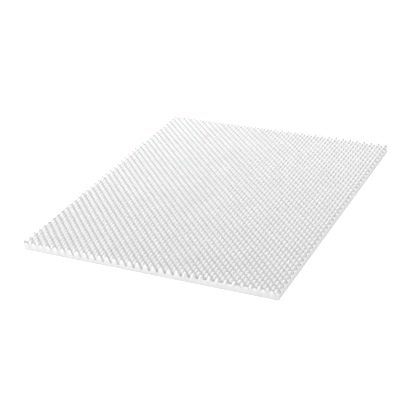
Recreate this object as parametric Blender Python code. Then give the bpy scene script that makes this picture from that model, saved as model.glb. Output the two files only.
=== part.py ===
"""A convoluted foam mattress topper, as one slab.

The slab is flat underneath and has straight cut sides. Its top is profiled like an egg box: peaks
and pits take turns, so that each row of peaks stands opposite the pits of the row beside it.
+X runs across the width and +Y along the length. The origin is under the middle of the slab, on
its flat underside.
"""

import math

import bmesh
import bpy
from mathutils import Vector

NAME = "mattress_topper"

# The cut slab, in metres
WIDTH = 1.600
LENGTH = 2.000
HEIGHT = 0.060  # from the underside to the tips of the peaks
PIT_FLOOR = 0.022  # the foam left under a pit

# The profiled pattern. One step goes from a peak to the pit beside it.
STEPS_ACROSS = 65
STEPS_ALONG = 79
STEP_X = WIDTH / STEPS_ACROSS
STEP_Y = LENGTH / STEPS_ALONG

# The slab is cut to size after it is profiled, and a little askew. Each corner has its own number
# of steps, across and along, between the corner and the nearest whole row of the pattern.
FRONT_LEFT = Vector((0.16, 1.40))
FRONT_RIGHT = Vector((0.60, 0.26))
BACK_LEFT = Vector((1.48, -0.46))
BACK_RIGHT = Vector((0.64, 0.32))

# The sheet of pattern is made this many steps too large on every side, and then cut.
SPARE_STEPS = 3
# A corner of the pattern that is nearer than this to a cut moves onto it.
SNAP = 0.45 * STEP_X

FOAM_COLOUR = (0.90, 0.90, 0.89, 1.0)
FOAM_ROUGHNESS = 0.95


def clear_scene():
    for old in list(bpy.data.objects):
        bpy.data.objects.remove(old, do_unlink=True)


def creep(across, along):
    """How far the pattern is shifted, in steps, at these shares of the width and the length."""
    front = FRONT_LEFT.lerp(FRONT_RIGHT, across)
    back = BACK_LEFT.lerp(BACK_RIGHT, across)
    return front.lerp(back, along)


def place_of(step_x, step_y):
    """Where a corner of the pattern, counted in steps, lies on the slab."""
    shift = creep(step_x / STEPS_ACROSS, step_y / STEPS_ALONG)
    x = (step_x - shift.x) * STEP_X - WIDTH / 2
    y = (step_y - shift.y) * STEP_Y - LENGTH / 2
    return x, y


def wave_at(x, y):
    """1 on a peak, -1 in a pit and 0 on the saddles halfway."""
    across = x / WIDTH + 0.5
    along = y / LENGTH + 0.5
    shift = creep(across, along)
    return math.cos(math.pi * (across * STEPS_ACROSS + shift.x)) * math.cos(
        math.pi * (along * STEPS_ALONG + shift.y)
    )


def pattern_sheet():
    """A flat sheet with a corner at every peak and every pit, larger than the slab."""
    sheet = bmesh.new()
    wide = STEPS_ACROSS + 2 * SPARE_STEPS
    long = STEPS_ALONG + 2 * SPARE_STEPS
    bmesh.ops.create_grid(sheet, x_segments=wide, y_segments=long, size=0.5)
    for corner in sheet.verts:
        step_x = round((corner.co.x + 0.5) * wide) - SPARE_STEPS
        step_y = round((corner.co.y + 0.5) * long) - SPARE_STEPS
        corner.co.x, corner.co.y = place_of(step_x, step_y)
    return sheet


def cut_to_size(sheet):
    """Cuts the sheet along the four straight sides of the slab."""
    for side in (Vector((WIDTH / 2, 0, 0)), Vector((0, LENGTH / 2, 0))):
        for point in (side, -side):
            bmesh.ops.bisect_plane(
                sheet,
                geom=sheet.verts[:] + sheet.edges[:] + sheet.faces[:],
                dist=SNAP,
                plane_co=point,
                plane_no=point,
                use_snap_center=True,
                clear_outer=True,
            )


def raise_peaks(sheet):
    """Joins the pits across every face, so that each peak is a four-sided one, and lifts the sheet."""
    pits = [corner for corner in sheet.verts if wave_at(corner.co.x, corner.co.y) < 0]
    bmesh.ops.connect_verts(sheet, verts=pits)
    for corner in sheet.verts:
        lift = (1 + wave_at(corner.co.x, corner.co.y)) / 2
        corner.co.z = PIT_FLOOR + (HEIGHT - PIT_FLOOR) * lift


def close_below(sheet):
    """Adds the straight sides and the flat underside."""
    rim = [edge for edge in sheet.edges if edge.is_boundary]
    sides = bmesh.ops.extrude_edge_only(sheet, edges=rim)["geom"]
    for item in sides:
        if isinstance(item, bmesh.types.BMVert):
            item.co.z = 0
    foot = [edge for edge in sheet.edges if edge.is_boundary]
    bmesh.ops.contextual_create(sheet, geom=foot)
    bmesh.ops.recalc_face_normals(sheet, faces=sheet.faces)


def foam_material():
    material = bpy.data.materials.new("white_foam")
    material.use_nodes = True
    shader = material.node_tree.nodes["Principled BSDF"]
    shader.inputs["Base Color"].default_value = FOAM_COLOUR
    shader.inputs["Roughness"].default_value = FOAM_ROUGHNESS
    shader.inputs["Metallic"].default_value = 0.0
    return material


def foam_slab(collection):
    sheet = pattern_sheet()
    cut_to_size(sheet)
    raise_peaks(sheet)
    close_below(sheet)
    mesh = bpy.data.meshes.new("foam_slab")
    sheet.to_mesh(mesh)
    sheet.free()
    mesh.materials.append(foam_material())
    slab = bpy.data.objects.new("foam_slab", mesh)
    collection.objects.link(slab)
    return slab


def main():
    clear_scene()
    collection = bpy.data.collections.new(NAME)
    bpy.context.scene.collection.children.link(collection)
    foam_slab(collection)


main()
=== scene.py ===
"""The looks of a convoluted foam mattress topper: bare white foam, lying flat on a pale floor.

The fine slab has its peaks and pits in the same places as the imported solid, which it stands for.
It rounds the peaks that the solid has as points.
Lengths are in metres. +X runs across the width, +Y along the length, and the underside is at z = 0.
"""

import math

import bmesh
import bpy
from mathutils import Matrix, Vector


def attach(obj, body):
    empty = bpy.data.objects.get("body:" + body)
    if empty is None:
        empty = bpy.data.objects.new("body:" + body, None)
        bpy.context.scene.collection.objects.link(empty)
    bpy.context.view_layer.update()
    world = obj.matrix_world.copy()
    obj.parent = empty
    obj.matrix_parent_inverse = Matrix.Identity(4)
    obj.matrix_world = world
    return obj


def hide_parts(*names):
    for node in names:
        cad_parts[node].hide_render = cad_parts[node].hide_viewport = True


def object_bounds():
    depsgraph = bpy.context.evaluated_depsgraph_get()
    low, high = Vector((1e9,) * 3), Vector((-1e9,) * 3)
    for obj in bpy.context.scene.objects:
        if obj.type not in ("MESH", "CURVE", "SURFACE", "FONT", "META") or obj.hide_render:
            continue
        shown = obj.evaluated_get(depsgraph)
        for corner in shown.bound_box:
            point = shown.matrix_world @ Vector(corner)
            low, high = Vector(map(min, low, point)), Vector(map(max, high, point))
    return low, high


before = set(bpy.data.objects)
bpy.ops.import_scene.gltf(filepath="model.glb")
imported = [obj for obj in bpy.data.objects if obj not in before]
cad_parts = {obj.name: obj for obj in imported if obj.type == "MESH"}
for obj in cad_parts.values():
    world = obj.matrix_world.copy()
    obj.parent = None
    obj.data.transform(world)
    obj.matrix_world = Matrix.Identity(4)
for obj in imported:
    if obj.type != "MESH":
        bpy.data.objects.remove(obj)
cad_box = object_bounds()
cad_low, cad_high = (Vector(corner) for corner in cad_box)

# The cut slab
WIDTH = cad_high.x - cad_low.x
LENGTH = cad_high.y - cad_low.y
HEIGHT = cad_high.z - cad_low.z
PIT_FLOOR = 0.022  # the foam left under a pit

# The profiled pattern. One step goes from a peak to the pit beside it.
STEPS_ACROSS = 65
STEPS_ALONG = 79
STEP_X = WIDTH / STEPS_ACROSS
STEP_Y = LENGTH / STEPS_ALONG
FINE = 4  # mesh squares along one step
STEEPNESS = 0.8  # 0 for an even wave, 1 for round tips with steep flanks

# The slab is cut to size after it is profiled, and a little askew. Each corner has its own number
# of steps, across and along, between the corner and the nearest whole row of the pattern.
FRONT_LEFT = Vector((0.16, 1.40))
FRONT_RIGHT = Vector((0.60, 0.26))
BACK_LEFT = Vector((1.48, -0.46))
BACK_RIGHT = Vector((0.64, 0.32))
SPARE_STEPS = 3  # beyond each side of the slab, before it is cut
SNAP = 0.45 * STEP_X / FINE  # corners nearer to a cut than this are moved onto it
CREASE_ANGLE = 50  # degrees, and any edge sharper than this is not smoothed

# The foam. The pits are painted darker than the tips, as painted shade in the recesses.
TIP_COLOUR = (0.88, 0.88, 0.88, 1)
PIT_SHADE_COLOUR = (0.71, 0.71, 0.71, 1)
FOAM_ROUGHNESS = 0.95
FOAM_SHINE = 0.25
BLOTCH_SCALE = 9.0
BLOTCH_DETAIL = 4
BLOTCH_DARK = 0.96
BLOTCH_LIGHT = 1.04
PORE_SCALE = 700.0
PORE_STRENGTH = 0.5
PORE_DEPTH = 0.0006

# The colour sockets of a mix node, whose names are shared with its other kinds of socket
MIX_FIRST = 6
MIX_SECOND = 7
MIX_RESULT = 2

# The studio. The floor glows a little, so that it stays white where the slab shades it.
WHITE = (1, 1, 1, 1)
SKY_STRENGTH = 0.66
FLOOR_REACH = 20
FLOOR_COLOUR = (0.95, 0.95, 0.95, 1)
FLOOR_ROUGHNESS = 1.0
FLOOR_GLOW = 0.58
LAMP_PLACE = Vector((-7.0, 0.3, 7.0))
LAMP_SIZE = 4.0
LAMP_POWER = 880.0

# The camera, which looks down from the front and a little to the right. Angles are in degrees.
CAMERA_AZIMUTH = 26.13
CAMERA_ELEVATION = 27.41
CAMERA_ROLL = -2.97
CAMERA_DISTANCE = 6.832
CAMERA_TARGET = Vector((-0.0016, -0.1568, 0.0))
SENSOR_WIDTH = 36.0
LENS = 95.54


def creep(across, along):
    """How far the pattern is shifted, in steps, at these shares of the width and the length."""
    front = FRONT_LEFT.lerp(FRONT_RIGHT, across)
    back = BACK_LEFT.lerp(BACK_RIGHT, across)
    return front.lerp(back, along)


def place_of(step_x, step_y):
    """Where a point of the pattern, counted in steps, lies on the slab."""
    shift = creep(step_x / STEPS_ACROSS, step_y / STEPS_ALONG)
    x = (step_x - shift.x) * STEP_X - WIDTH / 2
    y = (step_y - shift.y) * STEP_Y - LENGTH / 2
    return x, y


def wave_at(x, y):
    """1 on a peak, -1 in a pit and 0 on the saddles halfway."""
    across = x / WIDTH + 0.5
    along = y / LENGTH + 0.5
    shift = creep(across, along)
    return math.cos(math.pi * (across * STEPS_ACROSS + shift.x)) * math.cos(
        math.pi * (along * STEPS_ALONG + shift.y)
    )


def pattern_sheet():
    """A flat sheet of small squares that line up with the pattern, larger than the slab."""
    sheet = bmesh.new()
    wide = (STEPS_ACROSS + 2 * SPARE_STEPS) * FINE
    long = (STEPS_ALONG + 2 * SPARE_STEPS) * FINE
    bmesh.ops.create_grid(sheet, x_segments=wide, y_segments=long, size=0.5)
    for corner in sheet.verts:
        step_x = (corner.co.x + 0.5) * wide / FINE - SPARE_STEPS
        step_y = (corner.co.y + 0.5) * long / FINE - SPARE_STEPS
        corner.co.x, corner.co.y = place_of(step_x, step_y)
    return sheet


def cut_to_size(sheet):
    """Cuts the sheet along the four straight sides of the slab."""
    for side in (Vector((WIDTH / 2, 0, 0)), Vector((0, LENGTH / 2, 0))):
        for point in (side, -side):
            bmesh.ops.bisect_plane(
                sheet,
                geom=sheet.verts[:] + sheet.edges[:] + sheet.faces[:],
                dist=SNAP,
                plane_co=point,
                plane_no=point,
                use_snap_center=True,
                clear_outer=True,
            )


def raise_peaks(sheet):
    """Lifts the flat sheet into rounded peaks and pits with steep flanks between them."""
    for corner in sheet.verts:
        wave = wave_at(corner.co.x, corner.co.y)
        steep = math.sin(math.pi / 2 * wave)
        lift = (1 + wave + STEEPNESS * (steep - wave)) / 2
        corner.co.z = PIT_FLOOR + (HEIGHT - PIT_FLOOR) * lift


def close_below(sheet):
    """Adds the straight sides and the flat underside."""
    rim = [edge for edge in sheet.edges if edge.is_boundary]
    sides = bmesh.ops.extrude_edge_only(sheet, edges=rim)["geom"]
    for item in sides:
        if isinstance(item, bmesh.types.BMVert):
            item.co.z = 0
    foot = [edge for edge in sheet.edges if edge.is_boundary]
    bmesh.ops.contextual_create(sheet, geom=foot)
    bmesh.ops.recalc_face_normals(sheet, faces=sheet.faces)


def foam_material():
    """White open-cell foam: matt, with fine pores, faint blotches and painted shade that darkens
    the colour from the tips down into the pits.
    """
    material = bpy.data.materials.new("white_foam")
    material.use_nodes = True
    nodes = material.node_tree.nodes
    wire = material.node_tree.links.new
    shader = nodes["Principled BSDF"]
    shader.inputs["Roughness"].default_value = FOAM_ROUGHNESS
    shader.inputs["Specular IOR Level"].default_value = FOAM_SHINE
    place = nodes.new("ShaderNodeTexCoord")

    apart = nodes.new("ShaderNodeSeparateXYZ")
    wire(place.outputs["Object"], apart.inputs["Vector"])
    # Painted shade: the colour ramp darkens the foam with depth, from the tips down into the pits.
    height = nodes.new("ShaderNodeMapRange")
    height.inputs["From Min"].default_value = PIT_FLOOR
    height.inputs["From Max"].default_value = HEIGHT
    wire(apart.outputs["Z"], height.inputs["Value"])
    pit_shade = nodes.new("ShaderNodeValToRGB")
    pit_shade.color_ramp.elements[0].color = PIT_SHADE_COLOUR
    pit_shade.color_ramp.elements[1].color = TIP_COLOUR
    wire(height.outputs["Result"], pit_shade.inputs["Fac"])

    blotches = nodes.new("ShaderNodeTexNoise")
    blotches.inputs["Scale"].default_value = BLOTCH_SCALE
    blotches.inputs["Detail"].default_value = BLOTCH_DETAIL
    wire(place.outputs["Object"], blotches.inputs["Vector"])
    spread = nodes.new("ShaderNodeMapRange")
    spread.inputs["To Min"].default_value = BLOTCH_DARK
    spread.inputs["To Max"].default_value = BLOTCH_LIGHT
    wire(blotches.outputs["Fac"], spread.inputs["Value"])
    paint = nodes.new("ShaderNodeMix")
    paint.data_type = "RGBA"
    paint.blend_type = "MULTIPLY"
    paint.inputs["Factor"].default_value = 1.0
    wire(pit_shade.outputs["Color"], paint.inputs[MIX_FIRST])
    wire(spread.outputs["Result"], paint.inputs[MIX_SECOND])
    wire(paint.outputs[MIX_RESULT], shader.inputs["Base Color"])

    pores = nodes.new("ShaderNodeTexVoronoi")
    pores.inputs["Scale"].default_value = PORE_SCALE
    wire(place.outputs["Object"], pores.inputs["Vector"])
    grain = nodes.new("ShaderNodeBump")
    grain.inputs["Strength"].default_value = PORE_STRENGTH
    grain.inputs["Distance"].default_value = PORE_DEPTH
    wire(pores.outputs["Distance"], grain.inputs["Height"])
    wire(grain.outputs["Normal"], shader.inputs["Normal"])
    return material


def foam_piece():
    """The whole topper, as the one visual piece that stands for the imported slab."""
    sheet = pattern_sheet()
    cut_to_size(sheet)
    raise_peaks(sheet)
    close_below(sheet)
    mesh = bpy.data.meshes.new("foam_topper")
    sheet.to_mesh(mesh)
    sheet.free()
    mesh.materials.append(foam_material())
    mesh.shade_smooth()
    mesh.set_sharp_from_angle(angle=math.radians(CREASE_ANGLE))
    piece = bpy.data.objects.new("foam_topper", mesh)
    bpy.context.scene.collection.objects.link(piece)
    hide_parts("foam_slab")
    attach(piece, "root")


def lay_floor():
    """The plain white studio floor, which is no part of the topper."""
    mesh = bpy.data.meshes.new("floor")
    ground = bmesh.new()
    bmesh.ops.create_grid(ground, x_segments=1, y_segments=1, size=FLOOR_REACH)
    ground.to_mesh(mesh)
    ground.free()
    material = bpy.data.materials.new("floor_white")
    material.use_nodes = True
    shader = material.node_tree.nodes["Principled BSDF"]
    shader.inputs["Base Color"].default_value = FLOOR_COLOUR
    shader.inputs["Roughness"].default_value = FLOOR_ROUGHNESS
    shader.inputs["Emission Color"].default_value = WHITE
    shader.inputs["Emission Strength"].default_value = FLOOR_GLOW
    mesh.materials.append(material)
    floor = bpy.data.objects.new("floor", mesh)
    bpy.context.scene.collection.objects.link(floor)


def light_scene():
    """An even white sky and one large soft lamp, high up on the left."""
    world = bpy.data.worlds.new("studio")
    world.use_nodes = True
    sky = world.node_tree.nodes["Background"]
    sky.inputs["Color"].default_value = WHITE
    sky.inputs["Strength"].default_value = SKY_STRENGTH
    bpy.context.scene.world = world
    lamp = bpy.data.lights.new("key", "AREA")
    lamp.shape = "DISK"
    lamp.size = LAMP_SIZE
    lamp.energy = LAMP_POWER
    key = bpy.data.objects.new("key", lamp)
    key.location = LAMP_PLACE
    key.rotation_euler = LAMP_PLACE.to_track_quat("Z", "Y").to_euler()
    bpy.context.scene.collection.objects.link(key)


def place_camera():
    azimuth = math.radians(CAMERA_AZIMUTH)
    elevation = math.radians(CAMERA_ELEVATION)
    back = Vector((
        math.sin(azimuth) * math.cos(elevation),
        -math.cos(azimuth) * math.cos(elevation),
        math.sin(elevation),
    ))
    lens = bpy.data.cameras.new("camera")
    lens.sensor_width = SENSOR_WIDTH
    lens.lens = LENS
    camera = bpy.data.objects.new("camera", lens)
    aim = back.to_track_quat("Z", "Y").to_matrix().to_4x4()
    roll = Matrix.Rotation(math.radians(CAMERA_ROLL), 4, "Z")
    camera.matrix_world = Matrix.Translation(CAMERA_TARGET + back * CAMERA_DISTANCE) @ aim @ roll
    bpy.context.scene.collection.objects.link(camera)
    bpy.context.scene.camera = camera


bpy.context.scene.view_settings.view_transform = "Standard"
foam_piece()
lay_floor()
light_scene()
place_camera()
